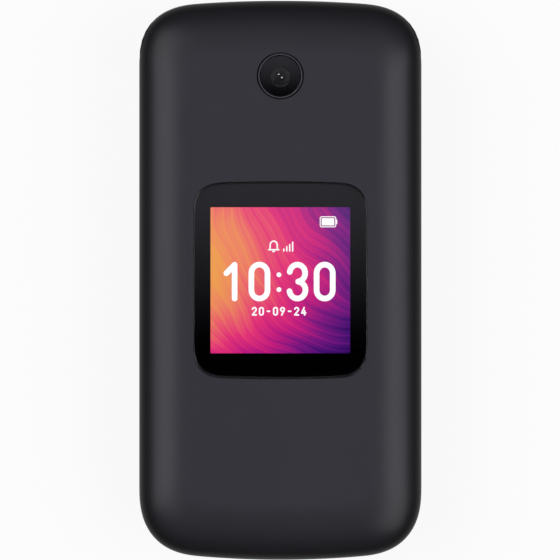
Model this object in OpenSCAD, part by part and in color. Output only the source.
// Clamshell mobile phone, closed, lying on its battery cover.
// Millimetres. Origin at the middle of the closed phone's underside.
// +X to the user's right, +Y towards the hinge, +Z up through the lid.

/* [Body] */
// Width of the closed phone
body_w = 53; // [52.6:0.2:57]
// Length of the closed phone, hinge end to free end
body_l = 105; // [102:0.5:112]
// Height of the keypad half, up to the key deck
base_t = 9.9; // [9.7:0.1:10.6]
// Thickness of the lid
lid_t = 8.6; // [8.4:0.1:9.4]
// Gap between the closed lid and the key deck
lid_gap = 0.4; // [0.35:0.05:0.6]

/* [Outline] */
// Width that a plan corner takes
corner_w = 11.6; // [9:0.2:13]
// Length that a plan corner takes at the hinge end
corner_l_hinge = 10.6; // [9:0.2:13]
// Length that a plan corner takes at the free end
corner_l_free = 11.9; // [9:0.2:13]
// Squareness of the corners, where 2 is an ellipse
corner_power = 2.65; // [2.2:0.05:3.2]
// Bulge of the hinge end past its corners
crown_hinge = 1.6; // [0.8:0.1:2.2]
// Bulge of the free end past its corners
crown_free = 2; // [0.8:0.1:2.4]

/* [Shoulders] */
// Flat land left between the outer window and the lid's side shoulder
window_land = 0.7; // [0.4:0.1:1.2]
// Length of the lid's rounded end shoulder
lid_shoulder_l = 11; // [9:0.5:11]
// Height of the lid's shoulder
lid_shoulder_t = 6; // [5:0.1:6.2]
// Width of the underside's rounded edge
base_shoulder_w = 6.5; // [4:0.5:7]
// Length of the underside's rounded free end
base_shoulder_l = 7.5; // [5:0.5:9]
// Height of the underside's rounding
base_shoulder_t = 4.2; // [3.6:0.2:4.6]
// Plan corner left where a shoulder meets its flat face
flat_corner = 6; // [4:0.5:8]

/* [Shells] */
// Wall of the two lid covers and the base housing
wall = 1.3; // [1.1:0.05:1.4]
// Wall of the battery cover
cover_wall = 1; // [0.8:0.05:1.1]
// Wall of the lid's hood round the barrel
hood_wall = 0.9; // [0.7:0.05:1]
// Open hairline between neighbouring shells
seam = 0.06; // [0.04:0.01:0.1]
// Thickness of the lid's inner cover
inner_cover_t = 1.2; // [1.1:0.1:1.4]
// Height of the key deck's band round the side
front_cover_t = 1.6; // [1.5:0.1:1.8]
// Thickness of the key deck
deck_t = 1.1; // [1:0.05:1.2]
// Height of the battery cover's rim
cover_rim = 2.5; // [2.3:0.1:2.7]
// Underside left between the battery cover and the hinge axis
cover_to_hinge = 8.9; // [8.4:0.1:10.9]

/* [Hinge] */
// Radius of the hinge barrel
barrel_r = 7; // [6.8:0.1:7.2]
// Length of each of the base's two knuckles
knuckle_l = 10; // [9.5:0.1:11]
// Running gap round the barrel and between its knuckles
hinge_gap = 0.3; // [0.2:0.05:0.4]
// Radius of the sprung cam unit
cam_unit_r = 2.9; // [2.7:0.05:3.1]
// Length of the sprung cam unit
cam_unit_l = 14.2; // [13.5:0.1:15]
// Square of the cam shaft's key
shaft_key = 3.4; // [3:0.1:3.6]
// Outer radius of the hollow pivot pin
pin_r = 2.4; // [2.2:0.05:2.7]
// Height of the lid's end lip over the deck
lip_over_deck = 2.9; // [2.8:0.1:3.4]
// Furthest that the lid opens, in degrees
open_angle = 160; // [150:1:160]

/* [Windows and displays] */
// Width of the outer display's window
outer_window_w = 32.6; // [31:0.2:33.2]
// Length of the outer display's window
outer_window_l = 37; // [35:0.5:40]
// Plan corner of the outer window
outer_window_corner = 5.8; // [4:0.2:7]
// Thickness of the outer window
outer_window_t = 1; // [0.9:0.05:1.1]
// Picture width of the outer display
outer_picture_w = 26.5; // [24:0.5:27.5]
// Picture length of the outer display
outer_picture_l = 27.6; // [26:0.2:29]
// Inner cover left beside the main window
main_window_side = 3; // [2.6:0.1:3.6]
// Inner cover left between the main window and the free end
main_window_end = 8.5; // [8.3:0.1:9.5]
// Inner cover left between the main window and the hinge axis
main_window_hinge = 17.4; // [17:0.1:18.5]
// Thickness of the main window
main_window_t = 0.8; // [0.7:0.05:0.9]
// Window border beside the main picture
main_border_w = 1.9; // [1.7:0.1:2.4]
// Window border at each end of the main picture
main_border_l = 7.2; // [7:0.1:8]

/* [Camera] */
// Distance from the hinge end to the lens axis
camera_from_end = 14; // [13.6:0.1:15]
// Radius of the camera's hole in the lid
camera_hole_r = 4.4; // [4:0.05:4.7]
// Width of the trim ring's top
camera_ring_w = 0.45; // [0.35:0.05:0.6]

/* [Keys] */
// Travel of a key
key_travel = 0.3; // [0.2:0.05:0.35]
// Height of a key over the deck
key_proud = 0.15; // [0.1:0.01:0.15]
// Gap round each key in the deck
key_gap = 0.25; // [0.2:0.05:0.35]
// Deck left beside the outer keys
key_margin = 2.5; // [2.4:0.1:2.7]
// Deck between two number keys across
key_web_w = 1.2; // [1.2:0.1:1.8]
// Deck between two number keys along
key_web_l = 2; // [1.8:0.1:2.6]
// Deck between the lowest keys and the free end
keypad_end = 11.7; // [11.2:0.1:13]
// Deck between the navigation ring and the hinge axis
keypad_hinge = 12.55; // [12.4:0.05:13]
// Width of the navigation ring
nav_w = 20.5; // [19:0.5:21]
// Length of the navigation ring
nav_l = 18.5; // [17.5:0.5:19]
// Width of the middle key
ok_w = 9.6; // [8:0.2:10]
// Length of the middle key
ok_l = 8.2; // [7:0.2:9]
// Tilt of the navigation ring each way, in degrees
nav_tilt = 1; // [0.6:0.1:1]

/* [Battery and sockets] */
// Room between the battery and the phone's side
battery_side = 4.8; // [4.7:0.1:6]
// Room between the battery and the headset socket
battery_to_jack = 2.8; // [2.6:0.1:4]
// Room between the battery and the hinge axis
battery_to_hinge = 25.4; // [25.3:0.1:27]
// Thickness of the battery
battery_t = 4.3; // [4:0.1:4.4]
// Radius of the headset socket's bore
jack_r = 1.8; // [1.75:0.01:1.85]
// Length of the headset socket's bore
jack_l = 12.5; // [12:0.1:13.5]
// Width of the charging socket's mouth
usb_w = 7.2; // [6.8:0.1:7.6]
// Height of the charging socket's mouth
usb_t = 2; // [1.8:0.1:2.1]
// Length of the volume rocker
rocker_l = 18; // [14:0.5:20]

/* [Hidden] */
half_w = body_w / 2;
half_l = body_l / 2;
closed_t = base_t + lid_gap + lid_t;

// Heights in the keypad half, down from the deck
deck_under = base_t - deck_t;
front_cover_low = base_t - front_cover_t;
housing_top = front_cover_low - seam;
flange_w = 0.5;
flange_t = 0.5;
flange_low = deck_under - 0.1 - flange_t;
keymat_t = 0.3;
keymat_top = flange_low - key_travel - 0.1;
dome_h = 0.25;
board_t = 0.8;
board_top = keymat_top - keymat_t - 0.05 - dome_h;
board_low = board_top - board_t;
battery_low = cover_wall + 0.1;
battery_top = battery_low + battery_t;
floor_top = board_low - 0.05;
floor_low = battery_top + 0.1;

// Heights of the rocking navigation ring and the web under it
nav_swing = sin(nav_tilt) * (nav_w + nav_l) / 2 - 0.02;
nav_low = keymat_top + nav_swing;
nav_flange_top = deck_under - nav_swing;
nav_web_t = 0.1;
nav_web_low = nav_low - 0.04 - nav_web_t;
nav_top = base_t + 0.02;

// Heights in the lid
lid_low = base_t + lid_gap;
outer_cover_low = lid_low + inner_cover_t + seam;
shoulder_low = closed_t - lid_shoulder_t;
roof = closed_t - wall;
main_window_low = lid_low + 0.2;
main_window_top = main_window_low + main_window_t;
main_display_low = lid_low + inner_cover_t;
main_display_t = 2.2;
frame_low = main_display_low + main_display_t + 0.1;
frame_t = 0.4;
lid_board_low = frame_low + frame_t + 0.05;
lid_board_t = 0.6;
outer_window_low = closed_t - outer_window_t;

// Hinge axis, with the barrel just clear of the underside
axis_y = half_l - barrel_r - 0.1;
axis_z = barrel_r + 0.2;
cove_r = barrel_r + hinge_gap;
barrel_w = body_w - 2 * knuckle_l;
knuckle_x = barrel_w / 2 + hinge_gap;
case_x = barrel_w / 2 - 0.3 - cam_unit_l;

// Lid: shoulder beside the window, main window and picture, camera and earpiece
lid_shoulder_w = half_w - outer_window_w / 2 - window_land;
main_window_w = body_w - 2 * main_window_side;
main_window_l = axis_y - main_window_hinge + half_l - main_window_end;
main_picture_w = main_window_w - 2 * main_border_w;
main_picture_l = main_window_l - 2 * main_border_l;
main_display_y = (axis_y - main_window_hinge - half_l + main_window_end) / 2;
camera_y = half_l - camera_from_end;
earpiece_y = -half_l + 5.2;

// Sockets, battery and battery cover
jack_x = half_w - 12.5;
jack_z = 4.75;
jack_block = 4.6;
jack_rim = 0.4;
jack_end_wall = 0.6;
jack_mouth_y = -half_l + wall + 0.9;
usb_mouth_y = -half_l + 0.5;
usb_shell_t = 0.3;
usb_low = board_low - usb_t - 2 * usb_shell_t;
battery_w = body_w - 2 * battery_side;
battery_lo = jack_mouth_y + jack_l + jack_end_wall + battery_to_jack;
battery_hi = axis_y - battery_to_hinge;
battery_l = battery_hi - battery_lo;
battery_y = (battery_lo + battery_hi) / 2;
cover_end_y = axis_y - cover_to_hinge;
rocker_y = axis_y - 27.4;
rocker_z = 5.4;

// Key layout: middles and sizes, down from the navigation ring
nav_corner = 6;
nav_y = axis_y - keypad_hinge - nav_l / 2;
side_inset = 0.9;
side_gap = 1.25;
side_w = half_w - key_margin - side_inset - nav_w / 2 - side_gap;
side_l = 6.4;
side_x = half_w - key_margin - side_w / 2 - side_inset;
side_pitch = 7.6;
side_y = nav_y + nav_l / 2 - 0.45 - side_l / 2 - side_pitch;
clear_w = 13.6;
clear_l = 5.6;
call_inset = 0.3;
call_gap = 2.3;
call_w = half_w - key_margin - call_inset - clear_w / 2 - call_gap;
call_l = 7;
call_x = half_w - key_margin - call_w / 2 - call_inset;
call_y = nav_y - nav_l / 2 - 0.25 - call_l / 2;
numbers_top = call_y - call_l / 2 - 3.5;
numbers_low = -half_l + keypad_end;
number_w = (body_w - 2 * key_margin - 2 * key_web_w) / 3;
number_l = (numbers_top - numbers_low - 3 * key_web_l) / 4;
number_pitch_w = number_w + key_web_w;
number_pitch_l = number_l + key_web_l;
number_names = [["key_1", "key_2", "key_3"], ["key_4", "key_5", "key_6"], ["key_7", "key_8", "key_9"],
    ["key_star", "key_0", "key_hash"]];

// Every plain key: name, middle x and y, width, length, corner
function keys() = concat(
    [["ok_key", 0, nav_y, ok_w, ok_l, 2.6],
     ["soft_key_left", -side_x, side_y + side_pitch, side_w, side_l, 2],
     ["soft_key_right", side_x, side_y + side_pitch, side_w, side_l, 2],
     ["message_key", -side_x, side_y, side_w, side_l, 2],
     ["camera_key", side_x, side_y, side_w, side_l, 2],
     ["call_key", -call_x, call_y, call_w, call_l, 2],
     ["clear_key", 0, call_y - 0.6, clear_w, clear_l, 2],
     ["end_key", call_x, call_y, call_w, call_l, 2]],
    [for (row = [0:3]) for (col = [0:2])
        [number_names[row][col], (col - 1) * number_pitch_w,
            numbers_top - number_l / 2 - row * number_pitch_l, number_w, number_l, 2.2]]
);

$fn = 48;

// Colours
plastic = "#3b3a3f";
gloss = "#0d0d10";
steel = "#9a9da2";
board_green = "#1d4a35";
rubber = "#1b1b1d";
key_black = "#202024";

// ---- Outline and lofts ----

corner_steps = 9;
end_steps = 8;

// One plan corner, from its side round to its end
function corner(a, cw, cl, t) =
    [a - cw + cw * pow(cos(t), 2 / corner_power), cl * (pow(sin(t), 2 / corner_power) - 1)];

// Plan outline, anticlockwise: half width a, ends at hi and lo, corners cw by chi and clo,
// and ends that bulge by khi and klo
function outline(a, hi, lo, cw, chi, clo, khi, klo) = concat(
    [for (i = [0:corner_steps])
        let (p = corner(a, cw, chi, 90 * i / corner_steps)) [p[0], hi + p[1] - khi * pow(p[0] / a, 2)]],
    [for (i = [1:end_steps - 1])
        let (x = (a - cw) * (1 - 2 * i / end_steps)) [x, hi - khi * pow(x / a, 2)]],
    [for (i = [corner_steps:-1:0])
        let (p = corner(a, cw, chi, 90 * i / corner_steps)) [-p[0], hi + p[1] - khi * pow(p[0] / a, 2)]],
    [for (i = [0:corner_steps])
        let (p = corner(a, cw, clo, 90 * i / corner_steps)) [-p[0], lo - p[1] + klo * pow(p[0] / a, 2)]],
    [for (i = [1:end_steps - 1])
        let (x = (a - cw) * (2 * i / end_steps - 1)) [x, lo + klo * pow(x / a, 2)]],
    [for (i = [corner_steps:-1:0])
        let (p = corner(a, cw, clo, 90 * i / corner_steps)) [p[0], lo - p[1] + klo * pow(p[0] / a, 2)]]
);

function mix(a, b, s) = a + (b - a) * s;
function round_in(t) = 1 - sqrt(1 - t * t);

// Body outline drawn in by share s of a shoulder sw by sl, and by a wall d
function body_ring(s, sw, sl, d = 0) = outline(
    half_w - d - (sw - d) * s, half_l - d - (sl - d) * s, -half_l + d + (sl - d) * s,
    mix(corner_w - d / 2, flat_corner, s), mix(corner_l_hinge - d / 2, flat_corner, s),
    mix(corner_l_free - d / 2, flat_corner, s), crown_hinge * (1 - 0.7 * s), crown_free * (1 - 0.7 * s));

function at_z(ring, z) = [for (p = ring) [p[0], p[1], z]];
function flipped(faces, yes) = yes ? [for (f = faces) [for (i = [len(f) - 1:-1:0]) f[i]]] : faces;

// Two triangles a step between ring k and the next ring of n points
function skin(k, n) = [for (i = [0:n - 1]) let (j = (i + 1) % n)
    each [[k * n + i, k * n + n + j, k * n + j], [k * n + i, k * n + n + i, k * n + n + j]]];

// Solid through rings of one length, climbing unless down is set
module loft(rings, down = false) {
    n = len(rings[0]);
    last = len(rings) - 1;
    faces = concat(
        [[for (i = [0:n - 1]) i]],
        [for (k = [0:last - 1]) each skin(k, n)],
        [[for (i = [n - 1:-1:0]) last * n + i]]);
    polyhedron(points = [for (r = rings) each r], faces = flipped(faces, down));
}

// Open shell: outer and inner rings both run from the rim to the closed face
module cup(outer, inner, down = false) {
    n = len(outer[0]);
    a = len(outer);
    b = len(inner);
    rim = [for (i = [0:n - 1]) let (j = (i + 1) % n)
        each [[i, j, a * n + j], [i, a * n + j, a * n + i]]];
    faces = concat(
        [for (k = [0:a - 2]) each skin(k, n)],
        [[for (i = [n - 1:-1:0]) (a - 1) * n + i]],
        rim,
        flipped([for (k = [0:b - 2]) each skin(a + k, n)], true),
        [[for (i = [0:n - 1]) (a + b - 1) * n + i]]);
    polyhedron(points = concat([for (r = outer) each r], [for (r = inner) each r]),
        faces = flipped(faces, down));
}

// ---- Small helpers ----

function rounded(w, l, r, steps = 6) = [for (q = [0:3]) for (i = [0:steps])
    let (t = 90 * (q + i / steps))
    [(q == 0 || q == 3 ? 1 : -1) * (w / 2 - r) + r * cos(t), (q < 2 ? 1 : -1) * (l / 2 - r) + r * sin(t)]];

// Rounded slab standing on z = 0
module slab(w, l, t, r = 1) {
    linear_extrude(t) polygon(rounded(w, l, r));
}

// Box between two corners
module block(lo, hi) {
    translate(lo) cube(hi - lo);
}

module along_x(x, y, z) {
    translate([x, y, z]) rotate([0, 90, 0]) children();
}

module along_y(x, y, z) {
    translate([x, y, z]) rotate([-90, 0, 0]) children();
}

// Profile in the Y-Z plane drawn out between two X values
module extrude_x(x0, x1) {
    translate([x0, 0, 0]) rotate([90, 0, 90]) linear_extrude(x1 - x0) children();
}

// Profile in the X-Z plane drawn out between two Y values
module extrude_y(y0, y1) {
    translate([0, y1, 0]) rotate([90, 0, 0]) linear_extrude(y1 - y0) children();
}

// Cylinder on the hinge axis
module on_axis(x0, x1, r) {
    along_x(x0, axis_y, axis_z) cylinder(r = r, h = x1 - x0);
}

module mirrored_x() {
    children();
    mirror([1, 0, 0]) children();
}

// ---- Lid ----

lid_rise = [0, 0.22, 0.42, 0.58, 0.71, 0.82, 0.9, 0.955, 0.988, 1];
lid_inner_rise = [0, 0.4, 0.66, 0.83, 0.94, 1];
screw_head_r = 1.2;
screw_head_t = 0.4;
screw_r = 0.6;
screw_l = 3.6;
boss_r = 1.7;
bumper_r = 1.6;
bumper_t = 0.6;
bumper_low = base_t + 0.05;
head_low = bumper_low + bumper_t + 0.05;
screw_spots = [for (x = [-1, 1]) for (y = [-half_l + 6.4, axis_y - 10.2])
    [x * (half_w - (y > 0 ? 4.4 : 6.4)), y]];
web_low = lid_low + inner_cover_t;
web_t = 1.5;
web_l = 6;
web_in = 1;
web_end_y = axis_y - 4;
camera_ledge = 0.3;
window_gap = 0.08;

window_crown = 0.45;
function outer_window_ring(d) = outline(
    outer_window_w / 2 + d, outer_window_l / 2 + d, -outer_window_l / 2 - d,
    outer_window_corner, outer_window_corner, outer_window_corner, window_crown, window_crown);

// Rings of the lid's outside, from its seam to its flat top
function lid_outside() = concat(
    [at_z(body_ring(0, 0, 0), outer_cover_low)],
    [for (t = lid_rise) at_z(body_ring(round_in(t), lid_shoulder_w, lid_shoulder_l),
        shoulder_low + lid_shoulder_t * t)]);
function lid_inside() = concat(
    [at_z(body_ring(0, 0, 0, wall), outer_cover_low)],
    [for (t = lid_inner_rise) at_z(body_ring(round_in(t), lid_shoulder_w, lid_shoulder_l, wall),
        shoulder_low + (lid_shoulder_t - wall) * t)]);

// Space that the base's knuckles and barrel need under the lid
module lid_cove() {
    on_axis(-half_w - 1, half_w + 1, cove_r);
    block([-half_w - 1, axis_y, lid_low - 1], [half_w + 1, half_l + 1, base_t + lip_over_deck]);
}

// Thin hood over the barrel, closed along the lip, with a slot for the barrel's web
module lid_hood() {
    difference() {
        union() {
            on_axis(-half_w, half_w, cove_r + hood_wall);
            block([-half_w, axis_y, base_t], [half_w, half_l, base_t + lip_over_deck + hood_wall]);
        }
        block([-barrel_w / 2 + web_in - 0.1, axis_y - web_l - 8, 0],
            [barrel_w / 2 - web_in + 0.1, axis_y - 2, web_low + web_t + 0.1]);
    }
}

module lid_outer_cover() {
    rib_t = 0.8;
    rib_y = -outer_window_l / 2 - 3.5;
    rib_pitch = 12;
    color(plastic) difference() {
        union() {
            cup(lid_outside(), lid_inside());
            intersection() {
                loft(lid_outside());
                union() {
                    lid_hood();
                    for (p = screw_spots) translate([p[0], p[1], outer_cover_low])
                        cylinder(r = boss_r, h = lid_t);
                    // cross ribs that stiffen the roof either side of the outer display
                    for (y = [rib_y, rib_y - rib_pitch])
                        block([-half_w, y, frame_low + frame_t + 1], [half_w, y + rib_t, closed_t]);
                }
            }
        }
        lid_cove();
        for (p = screw_spots) translate([p[0], p[1], 0])
            cylinder(r = screw_r + 0.02, h = head_low + screw_l + 0.6);
        translate([0, 0, outer_window_low]) linear_extrude(wall * 2) polygon(outer_window_ring(window_gap));
        translate([0, 0, roof - 1]) slab(outer_picture_w + 2, outer_picture_l + 2, 3, 1);
        translate([0, camera_y, roof + camera_ledge]) cylinder(r = camera_hole_r, h = 3);
        translate([0, camera_y, axis_z + cove_r + hood_wall + 0.1])
            cylinder(r = camera_hole_r - camera_ring_w, h = 6);
    }
}

module lid_inner_cover() {
    color(plastic) difference() {
        translate([0, 0, lid_low]) linear_extrude(inner_cover_t) polygon(body_ring(0, 0, 0));
        lid_cove();
        block([-half_w - 1, web_end_y, lid_low - 1], [half_w + 1, half_l + 1, closed_t]);
        translate([0, main_display_y, lid_low - 1])
            slab(main_window_w + 2 * window_gap, main_window_l + 2 * window_gap,
                1 + main_window_top - lid_low, 3);
        translate([0, main_display_y, lid_low - 1]) slab(main_picture_w + 0.6, main_picture_l + 0.6, 4, 0.8);
        translate([0, earpiece_y, lid_low - 1])
            slab(earpiece_slot_w, earpiece_slot_l, 4, earpiece_slot_l / 2 - 0.01);
        for (p = screw_spots) translate([p[0], p[1], 0]) {
            cylinder(r = bumper_r + 0.03, h = head_low - 0.02);
            cylinder(r = screw_head_r + 0.1, h = head_low + screw_head_t);
            cylinder(r = screw_r + 0.1, h = closed_t);
        }
    }
}
earpiece_slot_w = 12;
earpiece_slot_l = 1.6;
earpiece_size = [13, 5.4, 2.4];
magnet_size = [5, 3, 1.6];

module main_window() {
    color(gloss) translate([0, main_display_y, main_window_low])
        slab(main_window_w, main_window_l, main_window_t, 2.9);
}

// Display modules reach past their pictures by these widths and lengths
main_rim = [4.6, 10.6];
module main_display() {
    color(steel) translate([0, main_display_y, main_display_low])
        slab(main_picture_w + main_rim[0], main_picture_l + main_rim[1], main_display_t, 0.6);
}

module outer_window() {
    color(gloss) translate([0, 0, outer_window_low])
        linear_extrude(outer_window_t) polygon(outer_window_ring(0));
}

outer_rim = [3.4, 5.6];
outer_display_t = 1.9;
module outer_display() {
    color(steel) translate([0, -0.6, roof - 0.05 - outer_display_t])
        slab(outer_picture_w + outer_rim[0], outer_picture_l + outer_rim[1], outer_display_t, 0.5);
}

// Pressed plate that holds the main display down
module lid_frame() {
    frame_w = main_picture_w + 2;
    window_y = main_picture_l / 2;
    color(steel) difference() {
        translate([0, main_display_y + 0.6, frame_low]) slab(frame_w, main_window_l, frame_t, 3);
        translate([0, 0, frame_low - 1]) slab(outer_picture_w, outer_picture_l, 3, 2);
        mirrored_x() for (y = [-window_y + 0.8, window_y + 1.2])
            translate([frame_w / 2 - 7, main_display_y + y, frame_low - 1]) slab(9, 4, 3, 1.5);
    }
}

lid_board_w = 34;
lid_board_l = 12;
lid_board_y = axis_y - 20.9;
lid_chip = [6, 4, 1];
lid_plug = [9, 3.2, 0.9];
module lid_board() {
    color(board_green) {
        difference() {
            translate([0, lid_board_y, lid_board_low]) slab(lid_board_w, lid_board_l, lid_board_t, 1);
            translate([3.5 - lid_board_w / 2, lid_board_y - 3, lid_board_low - 1]) cylinder(r = 1, h = 3);
        }
        translate([lid_board_w / 2 - 9, lid_board_y, lid_board_low + lid_board_t])
            slab(lid_plug[0], lid_plug[1], lid_plug[2], 0.3);
        translate([-4, lid_board_y - 1, lid_board_low + lid_board_t])
            slab(lid_chip[0], lid_chip[1], lid_chip[2], 0.3);
    }
}

camera_ring_low = roof + camera_ledge;
module camera_ring() {
    outer_r = camera_hole_r - 0.12;
    inner_r = camera_hole_r - camera_ring_w;
    color(plastic) translate([0, camera_y, 0]) rotate_extrude() polygon([
        [inner_r, camera_ring_low], [outer_r, camera_ring_low], [outer_r, closed_t - 0.12],
        [outer_r - 0.1, closed_t - 0.02], [inner_r + 0.14, closed_t - 0.02], [inner_r, closed_t - 0.16]]);
}

camera_window_t = 0.55;
module camera_window() {
    color(gloss) translate([0, camera_y, closed_t - 0.3 - camera_window_t])
        cylinder(r = camera_hole_r - camera_ring_w - 0.03, h = camera_window_t);
}

module camera_module() {
    block_w = 6.5;
    top = closed_t - 0.3 - camera_window_t - 0.1;
    // its underside clears the hood over the barrel
    low = axis_z + sqrt(pow(cove_r + hood_wall, 2) - pow(axis_y - camera_y - block_w / 2, 2)) + 0.11;
    color(gloss) translate([0, camera_y, 0]) {
        difference() {
            union() {
                translate([0, 0, low]) slab(block_w, block_w, top - low - 1.1, 0.5);
                translate([0, 0, top - 1.2]) cylinder(r = 2.7, h = 1.2);
            }
            translate([0, 0, top - 0.9]) cylinder(r1 = 0.9, r2 = 2.1, h = 1);
        }
        translate([0, 0, top - 0.9]) cylinder(r = 0.85, h = 0.35);
    }
}

module earpiece() {
    color(steel) translate([0, earpiece_y + 0.6, main_display_low + 0.45])
        slab(earpiece_size[0], earpiece_size[1], earpiece_size[2], 1.2);
}

module earpiece_mesh() {
    color(rubber) translate([0, earpiece_y, main_display_low]) difference() {
        slab(earpiece_slot_w + 2, earpiece_slot_l + 1.6, 0.35, 0.8);
        for (i = [-5:5]) translate([i * 1.05, 0, -1]) cylinder(r = 0.3, h = 3, $fn = 16);
    }
}

module lid_magnet() {
    color(steel) translate([13, -half_l + 7.4, main_display_low])
        slab(magnet_size[0], magnet_size[1], magnet_size[2], 0.4);
}

module lid_bumpers() {
    color(rubber) for (p = screw_spots) translate([p[0], p[1], bumper_low]) {
        cylinder(r = bumper_r - 0.15, h = 0.15);
        translate([0, 0, 0.15]) cylinder(r = bumper_r, h = bumper_t - 0.15);
    }
}

module lid_screws() {
    color(steel) for (p = screw_spots) translate([p[0], p[1], head_low]) {
        cylinder(r = screw_head_r, h = screw_head_t);
        cylinder(r = screw_r, h = screw_l);
    }
}

module lid_barrel() {
    color(plastic) difference() {
        union() {
            on_axis(-barrel_w / 2, barrel_w / 2, barrel_r);
            // web that is clamped between the two lid covers
            block([-barrel_w / 2 + web_in, web_end_y - web_l, web_low],
                [barrel_w / 2 - web_in, web_end_y + 1, web_low + web_t]);
        }
        on_axis(case_x, barrel_w / 2 + 1, cam_unit_r + 0.02);
        on_axis(-barrel_w / 2 + 1.6, case_x - 1.5, barrel_r - 1.3);
        on_axis(-barrel_w / 2 - 1, -barrel_w / 2 + 2, pin_r + 0.06);
        // way for the flex, up through the barrel's wall and out along the web
        flex_way(0.15, 0.2);
        for (x = [barrel_w / 2 - 13, barrel_w / 2 - 4.5])
            translate([x, axis_y - 8.4, web_low - 1]) cylinder(r = 0.7, h = 4);
    }
}

// ---- Sprung cam unit and pivot pin ----

cam_clear = 0.08;
case_wall = 0.4;
cam_r = cam_unit_r - case_wall - cam_clear;
follower_l = 2.6;
cam_l = 2.2;
cam_rise = 0.7;
cam_x = case_x + cam_unit_l - cam_l - 0.5;
follower_x = cam_x - cam_rise - 0.15 - follower_l;
spring_wire = 0.35;
shaft_r = 1.4;
key_l = 3.7;
pin_wall = 0.8;
pin_in = 4;

module hinge_case() {
    color(steel) difference() {
        on_axis(case_x, case_x + cam_unit_l, cam_unit_r);
        on_axis(case_x + 0.7, case_x + cam_unit_l + 1, cam_unit_r - case_wall);
    }
}

// Wedge across the axis, its edge towards -X
module cam_wedge(x, rise, half_base) {
    translate([0, 0, axis_z]) linear_extrude(4 * cam_r, center = true)
        polygon([[x, axis_y - half_base], [x + 0.3, axis_y - half_base], [x + 0.3, axis_y + half_base],
            [x, axis_y + half_base], [x - rise, axis_y]]);
}

module hinge_shaft() {
    color(steel) {
        on_axis(cam_x, cam_x + cam_l, cam_r);
        intersection() {
            cam_wedge(cam_x + 0.1, cam_rise, 1.3);
            on_axis(cam_x - 2, cam_x + 1, cam_r);
        }
        on_axis(cam_x + cam_l - 0.1, knuckle_x + 0.6, shaft_r);
        block([knuckle_x + 0.5, axis_y - shaft_key / 2, axis_z - shaft_key / 2],
            [knuckle_x + 0.5 + key_l, axis_y + shaft_key / 2, axis_z + shaft_key / 2]);
    }
}

module hinge_follower() {
    color(steel) difference() {
        on_axis(follower_x, follower_x + follower_l, cam_r + cam_clear / 2);
        cam_wedge(follower_x + follower_l + 0.1, cam_rise, 1.4);
    }
}

// Coil spring drawn as the rings that its close turns make
module hinge_spring() {
    turns = 7;
    low = case_x + 0.7 + spring_wire;
    room = follower_x - spring_wire - low;
    color(steel) for (i = [0:turns - 1]) along_x(low + room * i / (turns - 1), axis_y, axis_z)
        rotate_extrude() translate([cam_r - spring_wire - 0.1, 0]) circle(r = spring_wire, $fn = 16);
}

module hinge_pin() {
    color(steel) difference() {
        on_axis(-knuckle_x - pin_in, -barrel_w / 2 + 1.4, pin_r);
        on_axis(-knuckle_x - pin_in - 1, -barrel_w / 2 + 2, pin_r - pin_wall);
    }
}

// Flat flex from the roll up into the lid; side and face add the room round it
flex_w = 5;
flex_x = [-barrel_w / 2 + 5.5, -barrel_w / 2 + 5.5 + flex_w];
flex_end_y = axis_y - 13.5;
flex_t = 0.2;
flex_y = axis_y - 4.5;
flex_lid_low = web_low + 0.6;
module flex_way(side, face) {
    lo = flex_x[0] - side;
    hi = flex_x[1] + side;
    block([lo, flex_y - face, axis_z + 0.6 - face],
        [hi, flex_y + flex_t + face, flex_lid_low + flex_t + face]);
    block([lo, flex_end_y, flex_lid_low - face], [hi, flex_y + flex_t + face, flex_lid_low + flex_t + face]);
}

module hinge_flex() {
    roll_r = pin_r - 1.1;
    top = lid_board_low + lid_board_t;
    color("#b5762c") {
        difference() {
            on_axis(-knuckle_x - pin_in + 0.4, flex_x[1] + 0.5, roll_r);
            on_axis(-knuckle_x - pin_in, flex_x[1] + 1, roll_r - 0.3);
        }
        block([flex_x[0], flex_y, axis_z + 0.6], [flex_x[1], axis_y - roll_r + 0.25, axis_z + 0.6 + flex_t]);
        flex_way(0, 0);
        // end that climbs to the lid's board and lies on it
        block([flex_x[0], flex_end_y, flex_lid_low], [flex_x[1], flex_end_y + flex_t, top + flex_t]);
        block([flex_x[0], lid_board_y + 3.5, top], [flex_x[1], flex_end_y + flex_t, top + flex_t]);
    }
}

// ---- Keys ----

module key_cap(k) {
    crown_r = 90;
    color(k[0] == "call_key" ? "#1f6b3a" : k[0] == "end_key" ? "#8c2027" : key_black)
    translate([k[1], k[2], 0]) {
        // cap with a shallow crown along the phone
        intersection() {
            translate([0, 0, flange_low]) slab(k[3], k[4], 5, k[5]);
            along_x(-k[3], 0, base_t + key_proud - crown_r) cylinder(r = crown_r, h = 2 * k[3], $fn = 200);
        }
        translate([0, 0, flange_low]) slab(k[3] + 2 * flange_w, k[4] + 2 * flange_w, flange_t, k[5]);
    }
}

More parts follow.
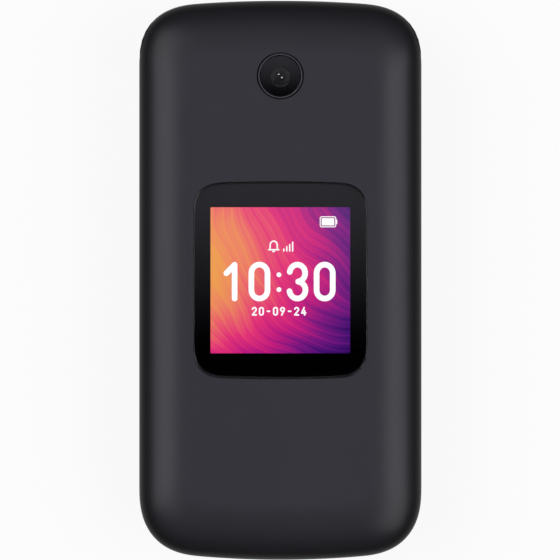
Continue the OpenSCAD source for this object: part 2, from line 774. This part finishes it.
module nav_ring() {
    recess_top = flange_low + flange_t + nav_swing;
    web_room = nav_web_low + nav_web_t + nav_swing;
    color(key_black) translate([0, nav_y, 0]) difference() {
        union() {
            translate([0, 0, nav_low]) slab(nav_w, nav_l, nav_top - nav_low, nav_corner);
            translate([0, 0, nav_low])
                slab(nav_w + 2 * flange_w, nav_l + 2 * flange_w, nav_flange_top - nav_low, nav_corner);
        }
        // room for the middle key and its flange
        translate([0, 0, nav_low - 1]) slab(ok_w + 2.2, ok_l + 2.2, recess_top - nav_low + 1, 3.2);
        translate([0, 0, nav_low - 1]) slab(ok_w + 2 * key_gap + 0.1, ok_l + 2 * key_gap + 0.1, 5, 2.8);
        // relief over the web, but for the two pads that the ring rocks on
        difference() {
            translate([0, 0, nav_low - 1]) slab(nav_w - 1.4, nav_l - 1.4, web_room - nav_low + 1, 5);
            block([-1, -nav_l, 0], [1, nav_l, closed_t]);
        }
        // finger dish round the middle key
        translate([0, 0, nav_top + 38 - 0.45]) sphere(r = 38, $fn = 120);
    }
}

// Raised web of the key mat that the ring rocks on
module nav_web() {
    color(rubber) translate([0, nav_y, nav_web_low]) difference() {
        slab(nav_w - 2, nav_l - 2, nav_web_t, 5);
        translate([0, 0, -1]) slab(ok_w + 2.4, ok_l + 2.4, 3, 3.2);
    }
}

// ---- Keypad half ----

// Side and end walls under the deck, as one prism
module base_prism(d, z0, z1) {
    translate([0, 0, z0]) linear_extrude(z1 - z0) polygon(body_ring(0, 0, 0, d));
}

module base_front_cover() {
    color(plastic) difference() {
        union() {
            difference() {
                base_prism(0, front_cover_low, base_t);
                base_prism(wall, front_cover_low - 1, deck_under);
            }
            // bosses that reach down through the board to the housing's posts
            for (p = housing_spots) translate([p[0], p[1], floor_top])
                cylinder(r = post_r - 0.3, h = base_t - floor_top - 0.2);
        }
        for (p = housing_spots) translate([p[0], p[1], 0])
            cylinder(r = screw_r + 0.02, h = housing_screw_top + 0.3);
        on_axis(-knuckle_x, knuckle_x, cove_r);
        on_axis(-half_w - 1, half_w + 1, barrel_r + seam);
        block([-half_w - 1, axis_y - 4, 0], [half_w + 1, half_l + 1, closed_t]);
        for (k = keys()) if (k[0] != "ok_key") translate([k[1], k[2], deck_under - 1])
            slab(k[3] + 2 * key_gap, k[4] + 2 * key_gap, 4, k[5] + key_gap);
        translate([0, nav_y, deck_under - 1])
            slab(nav_w + 2 * key_gap + 0.1, nav_l + 2 * key_gap + 0.1, 4, nav_corner + key_gap);
    }
}

cut_t = 1 - cover_rim / base_shoulder_t;
seam_t = 1 - (cover_rim + seam) / base_shoulder_t;
base_rise = [1, 0.985, 0.94, 0.86, 0.76, 0.64, 0.52];
plug_gap = 0.15;
skin_low = cover_wall + 0.12;
skin_t = 0.8;
plug_t = 1 - skin_low / base_shoulder_t;
bay_wall = 0.8;
bay_gap = 0.15;
bay_hi = battery_hi + bay_gap;
bay_lo = battery_lo - bay_gap;

// Ring of the underside's rounding at share t of its height, drawn in by a wall d
function under_ring(t, d = 0) =
    at_z(body_ring(round_in(t), base_shoulder_w, base_shoulder_l, d), base_shoulder_t * (1 - t));

// Rings of the base's side, from the rounding's share t up to height top
function side_rings(t, top) = concat(
    [under_ring(t)],
    [for (u = [0.3, 0.18, 0.08, 0]) under_ring(min(u, t - 0.02 * (1 - u)))],
    [at_z(body_ring(0, 0, 0), top)]);

// Housing inside the battery cover, with its side walls over the cover's rim
module cover_end_body() {
    intersection() {
        loft(concat(
            [for (t = [plug_t, cut_t + (plug_t - cut_t) / 2, cut_t]) under_ring(t, cover_wall + plug_gap)],
            [at_z(body_ring(round_in(cut_t), base_shoulder_w, base_shoulder_l, cover_wall + plug_gap),
                base_shoulder_t * (1 - seam_t))],
            side_rings(seam_t, housing_top)));
        block([-half_w - 1, -half_l - 1, 0], [half_w + 1, cover_end_y + seam, closed_t]);
    }
}

// Hinge end: both knuckles, the coved wall between them and the underside below them
module hinge_end_body() {
    relief = atan2(base_t + lip_over_deck - axis_z, half_l - axis_y) - open_angle - 4;
    intersection() {
        loft(concat([for (t = base_rise) under_ring(t)], side_rings(seam_t, closed_t)));
        difference() {
            union() {
                block([-half_w - 1, cover_end_y + seam, -1], [half_w + 1, axis_y, housing_top]);
                on_axis(-half_w - 1, half_w + 1, barrel_r);
            }
            // wedge under the barrel that the open lid's lip swings into
            difference() {
                extrude_x(-half_w - 2, half_w + 2) polygon([[axis_y + 1, axis_z], [axis_y, axis_z],
                    [axis_y + 2 * barrel_r * cos(relief), axis_z + 2 * barrel_r * sin(relief)],
                    [axis_y + 1, -barrel_r]]);
                on_axis(-half_w - 1, half_w + 1, barrel_r);
            }
            // cove for the lid's barrel
            on_axis(-knuckle_x, knuckle_x, cove_r);
            block([-knuckle_x, axis_y, -1], [knuckle_x, half_l + 1, closed_t]);
        }
    }
}

module base_housing() {
    color(plastic) {
        difference() {
            union() {
                cover_end_body();
                hinge_end_body();
            }
            // board space above the floor
            intersection() {
                base_prism(wall, floor_top, closed_t);
                block([-half_w, -half_l, 0], [half_w, board_end_y + 0.2, closed_t]);
            }
            // battery bay
            block([-battery_w / 2 - bay_gap, bay_lo, 0], [battery_w / 2 + bay_gap, bay_hi, floor_low]);
            // rooms for the sockets under the board, at the free end and by the hinge
            block([-socket_room, jack_mouth_y, skin_low + skin_t],
                [socket_room, bay_lo - bay_wall, closed_t]);
            block([-half_w + wall + 1.6, bay_hi + bay_wall, skin_low + skin_t],
                [half_w - wall - 1.6, board_end_y - 0.6, closed_t]);
            // mouths of the sockets, the microphone and the loudspeaker
            along_y(jack_x, -half_l - 1, jack_z) cylinder(r = jack_r + jack_rim, h = 4);
            translate([0, -half_l - 1, usb_low + usb_t / 2 + usb_shell_t]) rotate([-90, 0, 0])
                slab(usb_w + 1, usb_t + 1, 4, 1);
            along_y(mic_x, -half_l - 1, jack_z) cylinder(r = 0.5, h = 4);
            speaker_slots();
            // window in the bay's end wall for the battery contacts
            block([contact_x - contact_w / 2 - 0.2, bay_hi - 1, contact_z - 1.3],
                [contact_x + contact_w / 2 + 0.2, bay_hi + bay_wall + 1, contact_z + 1.3]);
            // card slot beside the battery bay
            block([card_x - card_w / 2 - 0.5, bay_hi + bay_wall, skin_low - 1],
                [card_x + card_w / 2 + 0.5, bay_hi + bay_wall + card_l + 1.8, skin_low + 2]);
            // pocket behind the volume rocker
            block([-half_w - 1, rocker_y - rocker_l / 2 - rocker_gap, rocker_z - rocker_h / 2 - rocker_gap],
                [-half_w + rocker_deep + 0.6, rocker_y + rocker_l / 2 + rocker_gap,
                    rocker_z + rocker_h / 2 + rocker_gap]);
            // key socket in the right knuckle and pin hole in the left
            block([knuckle_x - 1, axis_y - shaft_key / 2 - 0.05, axis_z - shaft_key / 2 - 0.05],
                [knuckle_x + key_l + 0.6, axis_y + shaft_key / 2 + 0.05, axis_z + shaft_key / 2 + 0.05]);
            on_axis(-knuckle_x - pin_in - 0.2, -knuckle_x + 1, pin_r + 0.01);
            for (p = housing_spots) translate([p[0], p[1], 0]) cylinder(r = post_r - 0.15, h = closed_t);
        }
        for (p = housing_spots) translate([p[0], p[1], 0]) difference() {
            translate([0, 0, skin_low + 0.1]) cylinder(r = post_r, h = floor_top - skin_low - 0.1);
            cylinder(r = screw_head_r + 0.25, h = housing_seat);
            cylinder(r = screw_r + 0.1, h = closed_t);
        }
    }
}

module speaker_slots() {
    slots = 5;
    slot_pitch = 2.4;
    for (i = [0:slots - 1])
        translate([speaker_x + (i - (slots - 1) / 2) * slot_pitch, speaker_y, -1]) slab(1.1, 6.2, 4, 0.5);
}

socket_room = half_w - 6;
board_end_y = axis_y - 8.8;
speaker_side = [-half_w + 8.8, -usb_w / 2 - usb_shell_t - 0.8];
speaker_w = speaker_side[1] - speaker_side[0];
speaker_l = 9.4;
speaker_t = board_low - skin_low - skin_t - 1.68;
speaker_x = (speaker_side[0] + speaker_side[1]) / 2;
speaker_y = -half_l + 9.3;
mic_x = -half_w + 11.5;
motor_r = 3.9;
motor_t = 2.8;
motor_x = half_w - 8.1;
shield_w = 12.4;
shield_l = 8.2;
shield_t = 1.4;
shield_x = motor_x - motor_r - 1.3 - shield_w / 2;
card_w = 13;
card_l = 9.4;
card_t = 1.6;
card_x = shield_x - shield_w / 2 - 2.3 - card_w / 2;
contact_w = 8.4;
contact_x = 8.4;
contact_z = 3.4;
post_r = 1.95;
housing_seat = skin_low + 1.1;
housing_screw_top = base_t - 1.5;
housing_spots = [for (x = [-1, 1]) for (y = [-half_l + 8.1, axis_y - 10.5])
    [x * (half_w - (y > 0 ? 5.3 : 6.6)), y]];
housing_head_t = 0.6;
rocker_h = 2.8;
rocker_deep = 0.95;
rocker_gap = 0.25;

module housing_screws() {
    color(steel) for (p = housing_spots) translate([p[0], p[1], housing_seat]) {
        translate([0, 0, -housing_head_t]) cylinder(r = screw_head_r, h = housing_head_t);
        translate([0, 0, -0.1]) cylinder(r = screw_r, h = housing_screw_top - housing_seat + 0.1);
    }
}

module battery_cover() {
    inner = [for (t = [cut_t, cut_t + (plug_t - cut_t) / 2, plug_t, 1 - cover_wall / base_shoulder_t])
        under_ring(t, cover_wall)];
    color(plastic) difference() {
        cup([for (t = [cut_t, 0.52, 0.64, 0.76, 0.86, 0.94, 0.985, 1]) under_ring(t)], inner, true);
        block([-half_w - 1, cover_end_y, -1], [half_w + 1, half_l + 1, closed_t]);
        speaker_slots();
        // fingernail notch at the hinge end
        translate([-half_w + 5.6, cover_end_y, -1.4]) cylinder(r = 3, h = 2);
    }
}

module battery() {
    contact_t = 0.1;
    color("#2c2f36") difference() {
        translate([0, battery_y, battery_low]) slab(battery_w, battery_l, battery_t, 1.2);
        for (i = [-1:1])
            block([contact_x + i * contact_pitch - 0.9, battery_hi - contact_t, contact_z - 0.9],
                [contact_x + i * contact_pitch + 0.9, battery_hi + 1, contact_z + 0.9]);
    }
}
contact_pitch = 2.8;

module main_board() {
    color(board_green) difference() {
        intersection() {
            base_prism(wall + 0.4, board_low, board_top);
            block([-half_w, jack_mouth_y + 1.2, 0], [half_w, board_end_y, closed_t]);
        }
        block([jack_x - jack_block / 2 - 0.7, -half_l, 0],
            [jack_x + jack_block / 2 + 0.7, jack_mouth_y + jack_l + jack_end_wall + 0.2, closed_t]);
        for (p = housing_spots) translate([p[0], p[1], 0]) cylinder(r = post_r + 0.1, h = closed_t);
        block([-half_w, rocker_y - rocker_l / 2 - 1, 0],
            [-half_w + wall + 1.8, rocker_y + rocker_l / 2 + 1, closed_t]);
    }
}

mic_size = [4, 3, 1.2];
sensor_size = [2, 1.4, 0.7];

// Shield can, battery contacts, microphone and lid sensor, all under the board
module board_parts() {
    color(steel) {
        translate([shield_x, board_end_y - 8, board_low - shield_t]) slab(shield_w, shield_l, shield_t, 0.8);
        translate([mic_x, -half_l + 4.6, board_low - mic_size[2]])
            slab(mic_size[0], mic_size[1], mic_size[2], 0.4);
        translate([4, -half_l + 12, board_low - sensor_size[2]])
            slab(sensor_size[0], sensor_size[1], sensor_size[2], 0.2);
        translate([contact_x, bay_hi + bay_wall + 1.2, contact_z - 1.1])
            slab(contact_w, 1.9, board_low - contact_z + 1.1, 0.3);
        for (i = [-1:1]) block([contact_x + i * contact_pitch - 0.4, battery_hi, contact_z - 0.3],
            [contact_x + i * contact_pitch + 0.4, bay_hi + bay_wall + 1, contact_z + 0.3]);
    }
}

keymat_w = number_pitch_w * 2 + number_w;
keymat_lo = numbers_low;
keymat_hi = nav_y + nav_l / 2;

// Cut-out in the key mat and dome sheet beside the rocker's switch
module rocker_notch(z) {
    block([-half_w, rocker_y - rocker_l / 2 - 1, z - 1],
        [-half_w + wall + 2.4, rocker_y + rocker_l / 2 + 1, z + 1]);
}

module dome_sheet() {
    sheet_t = 0.05;
    dome_r = 2.4;
    color(steel) {
        difference() {
            translate([0, (keymat_lo + keymat_hi) / 2, board_top])
                slab(keymat_w, keymat_hi - keymat_lo, sheet_t, 3);
            rocker_notch(board_top);
        }
        for (k = keys()) translate([k[1], k[2], board_top]) rotate_extrude() polygon([[0, 0], [dome_r, 0],
            for (a = [15:25:90]) [dome_r * cos(a), sheet_t + (dome_h - sheet_t) * sin(a)]]);
    }
}

module keymat() {
    color(rubber) difference() {
        translate([0, (keymat_lo + keymat_hi) / 2, keymat_top - keymat_t])
            slab(keymat_w, keymat_hi - keymat_lo, keymat_t, 3);
        rocker_notch(keymat_top);
    }
}

module card_socket() {
    color(steel) translate([card_x, bay_hi + bay_wall + 6, board_low - card_t]) difference() {
        slab(card_w + 2, card_l + 1, card_t, 0.4);
        translate([0, -2, 0.3]) slab(card_w, card_l + 1.6, 0.9, 0.3);
    }
}

usb_l = 5.6;
module usb_port() {
    w = usb_w + 2 * usb_shell_t;
    t = usb_t + 2 * usb_shell_t;
    color(steel) translate([0, usb_mouth_y, usb_low + t / 2]) rotate([-90, 0, 0]) {
        difference() {
            slab(w, t, usb_l, 0.7);
            translate([0, 0, -1]) slab(usb_w, usb_t, usb_l + 0.2, 0.5);
        }
        translate([0, 0.25, 0.8]) slab(usb_w - 2.4, 0.6, usb_l - 1.1, 0.1);
    }
}

module headset_jack() {
    color(rubber) difference() {
        block([jack_x - jack_block / 2, jack_mouth_y, jack_z - jack_block / 2 + 0.1],
            [jack_x + jack_block / 2, jack_mouth_y + jack_l + jack_end_wall, board_top - 0.1]);
        along_y(jack_x, jack_mouth_y - 1, jack_z) cylinder(r = jack_r, h = jack_l + 1);
    }
}

module loudspeaker() {
    color(rubber) translate([speaker_x, speaker_y, skin_low + skin_t])
        slab(speaker_w, speaker_l, speaker_t, 1.6);
}

module vibration_motor() {
    color(steel) translate([motor_x, board_end_y - 8.6, board_low - motor_t])
        cylinder(r = motor_r, h = motor_t);
}

module volume_rocker() {
    color(key_black) extrude_y(rocker_y - rocker_l / 2, rocker_y + rocker_l / 2) polygon([
        [-half_w + rocker_deep, rocker_z - rocker_h / 2], [-half_w + rocker_deep, rocker_z + rocker_h / 2],
        [-half_w + 0.2, rocker_z + rocker_h / 2], [-half_w, rocker_z + rocker_h / 2 - 0.3],
        [-half_w, rocker_z - rocker_h / 2 + 0.3], [-half_w + 0.2, rocker_z - rocker_h / 2]]);
}

// ---- Assembly ----

lid_outer_cover();
lid_inner_cover();
lid_frame();
lid_board();
outer_window();
outer_display();
main_window();
main_display();
camera_ring();
camera_window();
camera_module();
earpiece();
earpiece_mesh();
lid_magnet();
lid_bumpers();
lid_screws();
lid_barrel();
hinge_case();
hinge_spring();
hinge_follower();
hinge_flex();
base_front_cover();
base_housing();
hinge_shaft();
hinge_pin();
main_board();
board_parts();
dome_sheet();
keymat();
battery();
card_socket();
usb_port();
headset_jack();
loudspeaker();
vibration_motor();
housing_screws();
battery_cover();
volume_rocker();
nav_web();
nav_ring();
for (k = keys()) key_cap(k);
